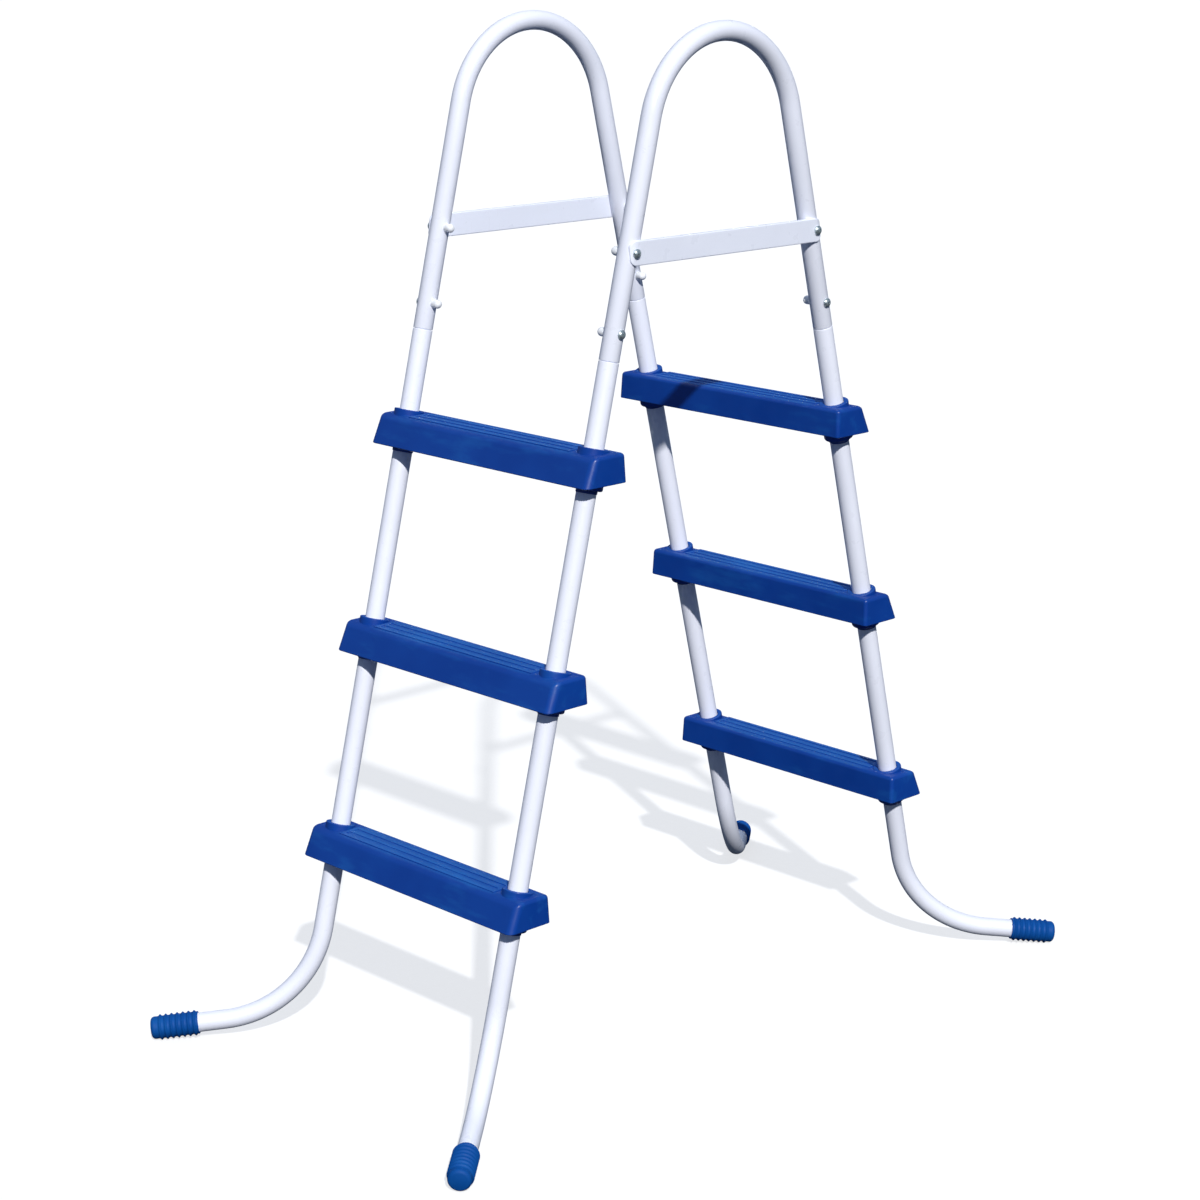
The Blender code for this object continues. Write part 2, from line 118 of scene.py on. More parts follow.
def spread(height):
    """How far a leg's centre line stands from the middle plane at a height."""
    return SPREAD_AT_GROUND - SPREAD_PER_RISE * height


def on_leg(x_sign, y_sign, height):
    return Vector((x_sign * RAIL_X, y_sign * spread(height), height))


def smoothstep(value, low, high):
    share = min(1.0, max(0.0, (value - low) / (high - low)))
    return share * share * (3 - 2 * share)


# ---------------------------------------------------------------- mesh helpers


def finished(shape, name):
    """A smooth-shaded mesh from a bmesh whose faces are made to point out."""
    bmesh.ops.remove_doubles(shape, verts=shape.verts, dist=MERGE_WITHIN)
    bmesh.ops.recalc_face_normals(shape, faces=shape.faces)
    mesh = bpy.data.meshes.new(name)
    shape.to_mesh(mesh)
    shape.free()
    mesh.shade_smooth()
    mesh.set_sharp_from_angle(angle=SMOOTH_BELOW)
    return mesh


def loft(name, rings, closed):
    """Quads between rings of equal count. A closed loft joins its last ring to its first."""
    shape = bmesh.new()
    rows = [[shape.verts.new(point) for point in ring] for ring in rings]
    pairs = list(zip(rows, rows[1:]))
    if closed:
        pairs.append((rows[-1], rows[0]))
    for row, after in pairs:
        for number in range(len(row)):
            beside = (number + 1) % len(row)
            shape.faces.new((row[number], row[beside], after[beside], after[number]))
    return finished(shape, name)


def turned(name, profile, sides):
    """A solid of revolution about Z from (radius, height) points."""
    turns = [2 * math.pi * number / sides for number in range(sides)]
    rings = []
    for radius, height in profile:
        rings.append([Vector((radius * math.cos(a), radius * math.sin(a), height)) for a in turns])
    return loft(name, rings, closed=False)


def arc(centre_r, centre_z, radius, first, last, steps):
    """(radius, height) points along an arc of a turned profile, with angles in degrees."""
    points = []
    for step in range(steps + 1):
        angle = math.radians(first + (last - first) * step / steps)
        points.append((centre_r + radius * math.cos(angle), centre_z + radius * math.sin(angle)))
    return points


def path_frames(points):
    """Each point's two cross directions, carried along the path without twisting."""
    tangents = []
    for number in range(len(points)):
        before = points[max(number - 1, 0)]
        after = points[min(number + 1, len(points) - 1)]
        tangents.append((after - before).normalized())
    across = Vector((1.0, 0.0, 0.0))
    frames = []
    for number, tangent in enumerate(tangents):
        if number:
            across = tangents[number - 1].rotation_difference(tangent) @ across
        across = (across - tangent * across.dot(tangent)).normalized()
        frames.append((across, tangent.cross(across)))
    return frames


def tube(name, points, radii):
    """A hollow tube along a path: the outer skin, back along the bore, and both end rims."""
    frames = path_frames(points)
    outer = []
    inner = []
    for point, (across, up), radius in zip(points, frames, radii):
        for rings, reach in ((outer, radius), (inner, min(radius, TUBE_R) - TUBE_WALL)):
            ring = []
            for number in range(TUBE_SIDES):
                angle = 2 * math.pi * number / TUBE_SIDES
                ring.append(point + reach * (across * math.cos(angle) + up * math.sin(angle)))
            rings.append(ring)
    return loft(name, outer + inner[::-1], closed=True)


def baked(obj):
    """The object's shape with its modifiers applied, as a mesh. The object is removed."""
    bpy.context.view_layer.update()
    graph = bpy.context.evaluated_depsgraph_get()
    mesh = bpy.data.meshes.new_from_object(obj.evaluated_get(graph))
    bpy.data.objects.remove(obj)
    return mesh


def helper(name, mesh):
    obj = bpy.data.objects.new(name, mesh)
    bpy.context.scene.collection.objects.link(obj)
    return obj


def boolean(obj, other, operation):
    modifier = obj.modifiers.new(other.name, "BOOLEAN")
    modifier.operation = operation
    modifier.solver = "EXACT"
    modifier.object = other


def piece(name, mesh, material, nodes, matrix=Matrix()):
    """A visible piece that rides on the ladder and stands for the named nodes of the frame."""
    obj = bpy.data.objects.new(name, mesh)
    obj.matrix_world = matrix
    bpy.context.scene.collection.objects.link(obj)
    if not mesh.materials:
        mesh.materials.append(material)
    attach(obj, BODY)
    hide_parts(*nodes)


# ---------------------------------------------------------------- materials

RUBBED_WHITE = (0.62, 0.63, 0.66)
SPECK_GREY = (0.42, 0.43, 0.46)
RIB_FOOT_Z = 0.0003
RIB_CREST_Z = 0.0010


class Nodes:
    """Short calls for building a material's node tree."""

    def __init__(self, name):
        self.material = bpy.data.materials.new(name)
        self.material.use_nodes = True
        self.tree = self.material.node_tree
        self.shader = self.tree.nodes["Principled BSDF"]
        coordinates = self.tree.nodes.new("ShaderNodeTexCoord")
        self.place = coordinates.outputs["Object"]

    def link(self, output, socket):
        self.tree.links.new(output, socket)

    def put(self, socket, value):
        if isinstance(value, bpy.types.NodeSocket):
            self.link(value, socket)
        else:
            socket.default_value = value

    def shifted(self):
        """The object's own coordinates, shifted by a different amount for each object."""
        info = self.tree.nodes.new("ShaderNodeObjectInfo")
        shift = self.tree.nodes.new("ShaderNodeVectorMath")
        shift.operation = "ADD"
        self.link(self.place, shift.inputs[0])
        self.link(info.outputs["Random"], shift.inputs[1])
        return shift.outputs["Vector"]

    def stretched(self, vector, scale):
        mapping = self.tree.nodes.new("ShaderNodeMapping")
        mapping.inputs["Scale"].default_value = scale
        self.link(vector, mapping.inputs["Vector"])
        return mapping.outputs["Vector"]

    def noise(self, vector, scale, detail=2.0, roughness=0.5):
        node = self.tree.nodes.new("ShaderNodeTexNoise")
        node.inputs["Scale"].default_value = scale
        node.inputs["Detail"].default_value = detail
        node.inputs["Roughness"].default_value = roughness
        self.link(vector, node.inputs["Vector"])
        return node.outputs["Fac"]

    def cells(self, vector, scale):
        node = self.tree.nodes.new("ShaderNodeTexVoronoi")
        node.inputs["Scale"].default_value = scale
        self.link(vector, node.inputs["Vector"])
        return node.outputs["Distance"]

    def span(self, value, low, high, to_low, to_high):
        """Maps low..high to to_low..to_high with a smooth ramp, clamped at both ends."""
        node = self.tree.nodes.new("ShaderNodeMapRange")
        node.interpolation_type = "SMOOTHSTEP"
        node.inputs["From Min"].default_value = low
        node.inputs["From Max"].default_value = high
        node.inputs["To Min"].default_value = to_low
        node.inputs["To Max"].default_value = to_high
        self.link(value, node.inputs["Value"])
        return node.outputs["Result"]

    def math(self, operation, first, second=0.0):
        node = self.tree.nodes.new("ShaderNodeMath")
        node.operation = operation
        self.put(node.inputs[0], first)
        self.put(node.inputs[1], second)
        return node.outputs["Value"]

    def mix(self, factor, first, second):
        node = self.tree.nodes.new("ShaderNodeMix")
        node.data_type = "RGBA"
        self.put(node.inputs["Factor"], factor)
        for socket, value in ((node.inputs["A"], first), (node.inputs["B"], second)):
            self.put(socket, (*value, 1.0) if isinstance(value, tuple) else value)
        return node.outputs["Result"]

    def axes(self, vector):
        node = self.tree.nodes.new("ShaderNodeSeparateXYZ")
        self.link(vector, node.inputs["Vector"])
        return node.outputs["X"], node.outputs["Y"], node.outputs["Z"]

    def facing_up(self):
        geometry = self.tree.nodes.new("ShaderNodeNewGeometry")
        return self.axes(geometry.outputs["Normal"])[2]

    def bump(self, height, depth, under=None):
        """A bump of a given depth in metres, on top of an earlier one."""
        node = self.tree.nodes.new("ShaderNodeBump")
        node.inputs["Strength"].default_value = 1.0
        node.inputs["Distance"].default_value = depth
        self.link(height, node.inputs["Height"])
        if under is not None:
            self.link(under, node.inputs["Normal"])
        return node.outputs["Normal"]

    def finish(self, color, roughness, normal, **constants):
        self.link(color, self.shader.inputs["Base Color"])
        self.link(roughness, self.shader.inputs["Roughness"])
        self.link(normal, self.shader.inputs["Normal"])
        for name, value in constants.items():
            self.shader.inputs[name.replace("_", " ")].default_value = value
        return self.material


def powder_coat(name, tint, shade):
    """Gloss white powder coat: faint orange peel, cloudy gloss, a few dull rubs and specks."""
    n = Nodes(name)
    spot = n.shifted()
    clouds = n.noise(spot, 9.0, detail=3.0)
    rubs = n.noise(n.stretched(spot, (1.0, 1.0, 0.16)), 160.0, detail=4.0, roughness=0.7)
    rubbed = n.span(rubs, 0.60, 0.72, 0.0, 1.0)
    specks = n.span(n.cells(spot, 260.0), 0.02, 0.06, 1.0, 0.0)
    speckled = n.math("MULTIPLY", specks, n.span(n.noise(spot, 30.0), 0.60, 0.70, 0.0, 0.35))
    color = n.mix(n.span(clouds, 0.35, 0.65, 0.0, 1.0), tint, shade)
    color = n.mix(n.math("MULTIPLY", rubbed, 0.10), color, RUBBED_WHITE)
    color = n.mix(speckled, color, SPECK_GREY)
    gloss = n.span(n.noise(spot, 60.0, detail=3.0), 0.3, 0.7, 0.27, 0.37)
    gloss = n.math("ADD", gloss, n.math("MULTIPLY", rubbed, 0.12))
    peel = n.bump(n.noise(spot, 520.0, detail=1.0), 0.00006)
    grit = n.bump(n.noise(spot, 2600.0, detail=1.0), 0.00001, peel)
    return n.finish(color, gloss, grit, IOR=1.5)


def moulded_blue(name, deep, light, chalk_and_sheen, dullness, ior, ribbed):
    """Moulded blue plastic with fine grain, flow marks along X and fine scratches.

    Ribbed plastic is duller on top and paler there, a painted sheen with some chalking; its ribs
    carry a painted highlight on their crests and chalky wear, most where feet step.
    """
    n = Nodes(name)
    spot = n.shifted()
    flow = n.noise(n.stretched(spot, (0.25, 1.0, 1.0)), 36.0, detail=4.0, roughness=0.6)
    clouds = n.noise(spot, 14.0, detail=3.0)
    color = n.mix(n.span(clouds, 0.32, 0.68, 0.0, 1.0), deep, light)
    color = n.mix(n.span(flow, 0.52, 0.70, 0.0, 0.16), color, chalk_and_sheen)
    gloss = n.span(n.noise(spot, 70.0, detail=3.0), 0.3, 0.7, dullness, dullness + 0.10)
    scratches = n.noise(n.stretched(spot, (0.12, 1.0, 1.0)), 700.0, detail=3.0, roughness=0.7)
    scratched = n.span(scratches, 0.60, 0.68, 0.0, 1.0)
    if ribbed:
        x, y, z = n.axes(n.place)
        upward = n.span(n.facing_up(), 0.80, 0.97, 0.0, 1.0)
        raised = n.span(z, RIB_FOOT_Z, RIB_CREST_Z, 0.0, 1.0)
        along_x = n.span(n.math("ABSOLUTE", x), 0.130, 0.165, 1.0, 0.0)
        across_y = n.span(n.math("ABSOLUTE", y), 0.021, 0.027, 1.0, 0.3)
        field = n.math("MULTIPLY", upward, n.math("MULTIPLY", along_x, across_y))
        crests = n.math("MULTIPLY", upward, raised)
        trodden = n.span(n.noise(spot, 40.0, detail=5.0, roughness=0.65), 0.38, 0.64, 0.25, 1.0)
        middle = n.span(n.math("ABSOLUTE", x), 0.015, 0.120, 1.0, 0.3)
        scuffed = n.math("MULTIPLY", n.math("MULTIPLY", crests, middle), trodden)
        # Painted sheen: the upward-facing top field is mixed paler, with some chalking.
        color = n.mix(n.math("MULTIPLY", field, 0.23), color, chalk_and_sheen)
        # Painted highlight on the rib crests, with some chalky wear; the scuffs on the next line
        # are wear where feet step.
        color = n.mix(n.math("MULTIPLY", crests, 0.10), color, chalk_and_sheen)
        color = n.mix(n.math("MULTIPLY", scuffed, 0.14), color, chalk_and_sheen)
        color = n.mix(n.math("MULTIPLY", n.math("MULTIPLY", field, scratched), 0.25), color, chalk_and_sheen)
        gloss = n.math("ADD", gloss, n.math("MULTIPLY", scuffed, 0.14))
        gloss = n.math("ADD", gloss, n.math("MULTIPLY", upward, 0.20))
    else:
        color = n.mix(n.math("MULTIPLY", scratched, 0.10), color, chalk_and_sheen)
    gloss = n.math("ADD", gloss, n.math("MULTIPLY", scratched, 0.06))
    sink = n.bump(flow, 0.00008)
    grain = n.bump(n.cells(spot, 1500.0), 0.00002, sink)
    return n.finish(color, gloss, grain, IOR=ior)


def gloss_white(name):
    """Glossy white moulded plastic with faint clouding and handling marks."""
    n = Nodes(name)
    spot = n.shifted()
    clouds = n.noise(spot, 160.0, detail=3.0)
    color = n.mix(n.span(clouds, 0.35, 0.65, 0.0, 1.0), (0.88, 0.89, 0.92), (0.82, 0.84, 0.88))
    marks = n.span(n.noise(spot, 900.0, detail=4.0, roughness=0.7), 0.60, 0.70, 0.0, 0.12)
    color = n.mix(marks, color, (0.60, 0.62, 0.66))
    gloss = n.span(clouds, 0.3, 0.7, 0.18, 0.30)
    normal = n.bump(n.noise(spot, 1200.0, detail=1.0), 0.00002)
    return n.finish(color, gloss, normal, IOR=1.49)


def zinc(name):
    """Zinc-plated steel: cool grey with cloudy passivation, dull pits and a fine grain."""
    n = Nodes(name)
    spot = n.shifted()
    clouds = n.noise(spot, 420.0, detail=4.0, roughness=0.6)
    color = n.mix(n.span(clouds, 0.35, 0.65, 0.0, 1.0), (0.36, 0.44, 0.46), (0.58, 0.66, 0.68))
    pits = n.span(n.cells(spot, 2600.0), 0.05, 0.16, 0.5, 0.0)
    color = n.mix(pits, color, (0.30, 0.32, 0.33))
    gloss = n.span(clouds, 0.3, 0.7, 0.26, 0.42)
    normal = n.bump(n.noise(spot, 3200.0, detail=2.0), 0.00002)
    return n.finish(color, gloss, normal, Metallic=0.8)


RAIL_PAINT = powder_coat("rail_powder_coat", (0.81, 0.83, 0.93), (0.79, 0.81, 0.91))
LEG_PAINT = powder_coat("leg_powder_coat", (0.81, 0.83, 0.93), (0.78, 0.80, 0.90))
BAR_PAINT = powder_coat("bar_powder_coat", (0.83, 0.86, 0.97), (0.81, 0.84, 0.95))
TREAD_BLUE = moulded_blue(
    "tread_plastic",
    deep=(0.001, 0.037, 0.255),
    light=(0.002, 0.045, 0.285),
    # Pale blue of chalky flow marks, scuffs and scratches, also used for the painted sheen on top
    # and the painted highlight on the rib crests.
    chalk_and_sheen=(0.020, 0.190, 0.540),
    dullness=0.32,
    ior=1.42,
    ribbed=True,
)
CAP_BLUE = moulded_blue(
    "foot_cap_plastic",
    deep=(0.001, 0.060, 0.270),
    light=(0.002, 0.070, 0.300),
    chalk_and_sheen=(0.01, 0.13, 0.40),
    dullness=0.52,
    ior=1.25,
    ribbed=False,
)
NUT_CAP_WHITE = gloss_white("nut_cap_plastic")
ZINC = zinc("zinc_plate")


# ---------------------------------------------------------------- tubes


def rounded_end(start, towards):
    """Points and radii that round a tube's rim over from its very end."""
    points = []
    radii = []
    for step in range(END_STEPS + 1):
        angle = math.radians(90 * step / END_STEPS)
        points.append(start + towards * END_ROUND * (1 - math.cos(angle)))
        radii.append(TUBE_R - END_ROUND * (1 - math.sin(angle)))
    return points, radii


def make_handrail(side, x_sign):
    """One bent tube: the upper ends of the side's two legs and the arch that joins them."""
    front = on_leg(x_sign, -1, SEAM_Z)
    back = on_leg(x_sign, 1, SEAM_Z)
    up = Vector((0.0, math.sin(LEAN), math.cos(LEAN)))
    points, radii = rounded_end(front, up)
    middle_z = RIDGE_Z - ARCH_R / math.sin(LEAN)
    for step in range(ARCH_STEPS + 1):
        angle = math.pi - LEAN + (2 * LEAN - math.pi) * step / ARCH_STEPS
        along = (ARCH_R * math.cos(angle), middle_z + ARCH_R * math.sin(angle))
        points.append(Vector((x_sign * RAIL_X, *along)))
        radii.append(TUBE_R)
    ends, end_radii = rounded_end(back, Vector((0.0, -up.y, up.z)))
    mesh = tube(f"{side}_handrail_tube", points + ends[::-1], radii + end_radii[::-1])
    piece(f"{side}_handrail_tube", mesh, RAIL_PAINT, [f"{side}_handrail"])


def foot_points(x_sign, y_sign):
    """A foot's centre line from the start of its bend to the end of its run, and its direction."""
    down = Vector((0.0, y_sign * math.sin(LEAN), -math.cos(LEAN)))
    level = math.cos(FOOT_DROOP)
    sideways = x_sign * level * math.sin(FOOT_SPLAY)
    forwards = y_sign * level * math.cos(FOOT_SPLAY)
    out = Vector((sideways, forwards, -math.sin(FOOT_DROOP)))
    turn = down.angle(out)
    inward = (out - down * down.dot(out)).normalized()
    bend = []
    for step in range(FOOT_BEND_STEPS + 1):
        angle = turn * step / FOOT_BEND_STEPS
        bend.append(FOOT_BEND_R * (inward * (1 - math.cos(angle)) + down * math.sin(angle)))
    bend.append(bend[-1] + out * FOOT_RUN)
    first_rib = CAP_NOSE + CAP_RIB_PITCH / 2
    lowest = bend[-1].z + first_rib * math.sin(FOOT_DROOP) - CAP_RIB_R * math.cos(FOOT_DROOP)
    start = on_leg(x_sign, y_sign, -lowest)
    return [start + point for point in bend], out


def make_leg(ladder, y_sign, side, x_sign):
    """A leg: the necked top that nests in the handrail, its shoulder, the run and the foot."""
    down = Vector((0.0, y_sign * math.sin(LEAN), -math.cos(LEAN)))
    neck = on_leg(x_sign, y_sign, SEAM_Z) + down * SEAM_GAP
    points = [neck - down * SPIGOT_LENGTH, neck]
    radii = [SPIGOT_R, SPIGOT_R]
    for step in range(SHOULDER_STEPS + 1):
        angle = math.radians(90 * step / SHOULDER_STEPS)
        points.append(neck + down * (SHOULDER_R * (1 - math.cos(angle)) + SHOULDER_START))
        radii.append(TUBE_R - SHOULDER_R * (1 - math.sin(angle)))
    foot, out = foot_points(x_sign, y_sign)
    foot[-1] = foot[-1] - out * (CAP_FLOOR + CAP_WALL_GAP)
    mesh = tube(f"{ladder}_{side}_leg_tube", points + foot, radii + [TUBE_R] * len(foot))
    name = f"{ladder}_{side}_leg"
    piece(f"{name}_tube", mesh, LEG_PAINT, [name])


# ---------------------------------------------------------------- foot caps


def cap_profile():
    """A ribbed cup with a rounded nose. Its mouth is at height 0 and its nose at CAP_LENGTH."""
    crown_r = (CAP_R - CAP_NOSE_ROUND) ** 2 / (2 * CAP_NOSE_CROWN)
    face = math.degrees(math.asin((CAP_R - CAP_NOSE_ROUND) / crown_r))
    points = arc(0.0, CAP_LENGTH - crown_r, crown_r, 90, 90 - face, 6)
    shoulder = CAP_LENGTH - CAP_NOSE_CROWN - CAP_NOSE_ROUND
    first = 90 - CAP_NOSE_BLEND_DEGREES - face
    points += arc(CAP_R - CAP_NOSE_ROUND, shoulder, CAP_NOSE_ROUND, first, 0, 9)
    for rib in range(CAP_RIBS):
        top = CAP_LENGTH - CAP_NOSE - CAP_RIB_PITCH * rib
        for step in range(CAP_RIB_STEPS):
            share = step / CAP_RIB_STEPS
            crest = smoothstep(1 - abs(share - 0.5) / CAP_RIB_HALF_SHARE, 0.0, 1.0)
            groove = CAP_GROOVE_DEPTH * math.exp(-((share / CAP_GROOVE_SHARE) ** 2))
            radius = CAP_R + (CAP_RIB_R - CAP_R) * crest - groove
            points.append((radius, top - CAP_RIB_PITCH * share))
    bore = TUBE_R + CAP_WALL_GAP
    lip = (CAP_R - bore) / 2
    points += arc(CAP_R - lip, lip, lip, 0, -180, 8)
    points += [(bore, CAP_LENGTH - CAP_FLOOR), (0.0, CAP_LENGTH - CAP_FLOOR)]
    return points


def make_foot_cap(ladder, y_sign, side, x_sign, mesh):
    """A foot cap on its foot's end, with the mesh itself moved there, not the object."""
    foot, out = foot_points(x_sign, y_sign)
    across = Vector((0.0, 0.0, 1.0)).cross(out).normalized()
    turn = Matrix((across, out.cross(across), out)).transposed().to_4x4()
    place = Matrix.Translation(foot[-1] - out * CAP_LENGTH) @ turn
    name = f"{ladder}_{side}_foot_cap"
    placed = mesh.copy()
    placed.transform(place)
    piece(f"{name}_ribbed", placed, CAP_BLUE, [name])


# ---------------------------------------------------------------- brace bars

BAR_ROUND = 0.0012
BAR_ROUND_SHARE = 0.45
BAR_ROWS = 30
BAR_EDGE_STEPS = 5
BAR_CORNER = 0.0085
BAR_TIP_ROUND = 0.0010
BAR_GAP = 0.0003
BAR_THICK = BAR_HIGH.x - BAR_LOW.x
BAR_MIDDLE_Z = (BAR_HIGH.z + BAR_LOW.z) / 2
BAR_FLAT = BAR_HIGH.x - RAIL_X
MARK_FROM_BOLT = 0.0142
MARK_HALF_HEIGHT = 0.0095
MARK_HALF_WIDTH = 0.0009
MARK_DEPTH = 0.00026
MARK_FADE = 0.0020
MARK_WAVE = 0.3
BAR_TIP_STEPS = 5
BAR_WRAP_STEPS = 20
BAR_MARK_REACH = 0.0024
BAR_MARK_STEP = 0.0004
BAR_MIDDLE_STEPS = 16


def bar_faces(y, z):
    """How far a bar's inner and outer faces stand from the plane of the tubes' centre lines.

    Past the bolt the outer face wraps down round the tube, the inner face is saddled onto it, and
    a shallow upright press mark crosses the bar just inboard of the tube.
    """
    past = (abs(y) - spread(z)) * math.cos(LEAN)
    outer = BAR_FLAT
    if past > 0:
        outer = math.sqrt(max(BAR_FLAT**2 - past**2, 0.0))
    along = abs(y) - BRACE.y + MARK_FROM_BOLT
    height = smoothstep(MARK_HALF_HEIGHT - abs(z - BAR_MIDDLE_Z), 0.0, MARK_FADE)
    wave = math.cos(2 * math.pi * (z - BAR_MIDDLE_Z) / (MARK_HALF_HEIGHT - MARK_FADE))
    spots = 1 - MARK_WAVE + MARK_WAVE * wave
    outer -= MARK_DEPTH * math.exp(-((along / MARK_HALF_WIDTH) ** 2)) * height * spots
    saddle = (TUBE_R + BAR_GAP) ** 2 - past**2
    inner = max(BAR_FLAT - BAR_THICK, math.sqrt(max(saddle, 0.0)))
    return inner, outer


def bar_ring(y, share):
    """The bar's section at y: a rounded rectangle that narrows into the bar's rounded corners."""
    half = (BAR_HIGH.z - BAR_LOW.z) / 2
    into_corner = max(0.0, abs(y) - (BAR_HIGH.y - BAR_CORNER))
    reach = half - BAR_CORNER + math.sqrt(max(BAR_CORNER**2 - into_corner**2, 0.0))
    inner, outer = bar_faces(y, BAR_MIDDLE_Z)
    edge = min(BAR_ROUND, BAR_ROUND_SHARE * (outer - inner))
    flat = [(reach - edge) * (2 * row / BAR_ROWS - 1) for row in range(BAR_ROWS + 1)]
    turns = [math.pi / 2 * step / BAR_EDGE_STEPS for step in range(1, BAR_EDGE_STEPS)]
    corner = [(edge * (1 - math.cos(turn)), reach - edge + edge * math.sin(turn)) for turn in turns]
    outside = [(0.0, height) for height in flat] + corner
    outside = [(-depth, -height) for depth, height in corner[::-1]] + outside
    ring = []
    for side in (1, -1):
        for depth, height in outside:
            z = BAR_MIDDLE_Z + side * height
            inner, outer = bar_faces(y, z)
            thickness = share * ((outer - inner) / 2 - abs(depth))
            ring.append(((inner + outer) / 2 + side * thickness, z))
    return ring


def bar_stations():
    """(y, share of the thickness) along a bar, close together at its ends and its press marks."""
    end = BAR_HIGH.y - BAR_TIP_ROUND
    tip = []
    for step in range(BAR_TIP_STEPS + 1):
        angle = math.radians(90 * step / BAR_TIP_STEPS)
        tip.append((BAR_HIGH.y - BAR_TIP_ROUND * (1 - math.cos(angle)), math.sin(angle)))
    mark = BRACE.y - MARK_FROM_BOLT + BAR_MARK_REACH
    stations = [end + (mark - end) * (step + 1) / BAR_WRAP_STEPS for step in range(BAR_WRAP_STEPS)]
    mark_steps = round(2 * BAR_MARK_REACH / BAR_MARK_STEP)
    stations += [mark - BAR_MARK_STEP * (step + 1) for step in range(mark_steps)]
    last = stations[-1]
    middle = [last * (1 - 2 * step / BAR_MIDDLE_STEPS) for step in range(1, BAR_MIDDLE_STEPS)]
    near = tip + [(y, 1.0) for y in stations]
    far = [(-y, share) for y, share in reversed(near)]
    return near + [(y, 1.0) for y in middle] + far


def make_brace_bar(side, x_sign):
    """A pressed flat bar across the side's arch, with rounded corners, wrapped onto the tubes."""
    rings = []
    for y, share in bar_stations():
        rings.append([Vector((x_sign * (RAIL_X + x), y, z)) for x, z in bar_ring(y, share)])
    mesh = loft(f"{side}_brace_bar_pressed", rings, closed=False)
    name = f"{side}_brace_bar"
    piece(f"{name}_pressed", mesh, BAR_PAINT, [name])


# ---------------------------------------------------------------- fasteners

BOLT_R = 0.00245
HEAD_R = 0.0058
HEAD_HEIGHT = 0.0048
HEAD_RIM_SHARE = 0.38
HEAD_ROUND = 0.0004
TIP_CHAMFER = 0.0005
FASTENER_SIDES = 48
RECESS_ARM = 0.0027
RECESS_WIDTH = 0.0012
RECESS_DEPTH = 0.0022
RECESS_TAPER = 0.45
RECESS_ABOVE_HEAD = 0.0002
NUT_CAP_R = 0.0057
NUT_CAP_LENGTH = 0.0128
NUT_CAP_CAVITY_R = 0.0049
NUT_CAP_CAVITY = 0.0085
TWIST_BY_Y = 1.7
TWIST_BY_Z = 23.0


def head_with_recess(name, profile, arm, width, top, depth):
    """A turned, round-headed fastener with a cross recess cut in its crown."""
    body = helper(name, turned(name, profile, FASTENER_SIDES))
    for number, turn in enumerate((0.0, math.pi / 2)):
        cutter = helper(f"{name}_recess_{number}", recess_blade(arm, width, top, depth, turn))
        boolean(body, cutter, "DIFFERENCE")
    cutters = [modifier.object for modifier in body.modifiers]
    mesh = baked(body)
    for cutter in cutters:
        bpy.data.objects.remove(cutter)
    mesh.name = name
    mesh.shade_smooth()
    mesh.set_sharp_from_angle(angle=SMOOTH_BELOW)
    return mesh


def recess_blade(arm, width, top, depth, turn):
    """One tapered blade of a cross recess, wider at its top."""
    shape = bmesh.new()
    bmesh.ops.create_cube(shape, size=2.0)
    for vert in shape.verts:
        share = 1.0 if vert.co.z > 0 else RECESS_TAPER
        height = top if vert.co.z > 0 else top - depth
        vert.co = (vert.co.x * arm * share, vert.co.y * width / 2 * share, height)
    bmesh.ops.rotate(shape, verts=shape.verts, matrix=Matrix.Rotation(turn, 3, "Z"))
    bmesh.ops.recalc_face_normals(shape, faces=shape.faces)
    mesh = bpy.data.meshes.new("recess")
    shape.to_mesh(mesh)
    shape.free()
    return mesh


def pan_profile(head_r, height, shank_r, tip):
    """A domed pan head over a plain shank. The head's seat is at height 0."""
    rim = height * HEAD_RIM_SHARE
    crown = (head_r**2 + (height - rim) ** 2) / (2 * (height - rim))
    face = math.degrees(math.asin(head_r / crown))
    points = arc(0.0, height - crown, crown, 90, 90 - face, 8)
    points += arc(head_r - HEAD_ROUND, HEAD_ROUND, HEAD_ROUND, 0, -90, 3)
    points += [(shank_r, 0.0), (shank_r, tip + TIP_CHAMFER), (shank_r - TIP_CHAMFER, tip)]
    points += [(0.0, tip)]
    return points


def nut_cap_profile():
    """A round-topped cup for a nut, with its mouth at height 0."""
    lip = (NUT_CAP_R - NUT_CAP_CAVITY_R) / 2
    points = [(0.0, -NUT_CAP_CAVITY), (NUT_CAP_CAVITY_R, -NUT_CAP_CAVITY), (NUT_CAP_CAVITY_R, -lip)]
    points += arc(NUT_CAP_R - lip, -lip, lip, 180, 0, 6)
    points += arc(0.0, NUT_CAP_R - NUT_CAP_LENGTH, NUT_CAP_R, 0, -90, 16)
    return points


def outward(x_sign):
    """Turns Z to point away from the middle plane along X."""
    return Matrix.Rotation(x_sign * math.pi / 2, 4, "Y")


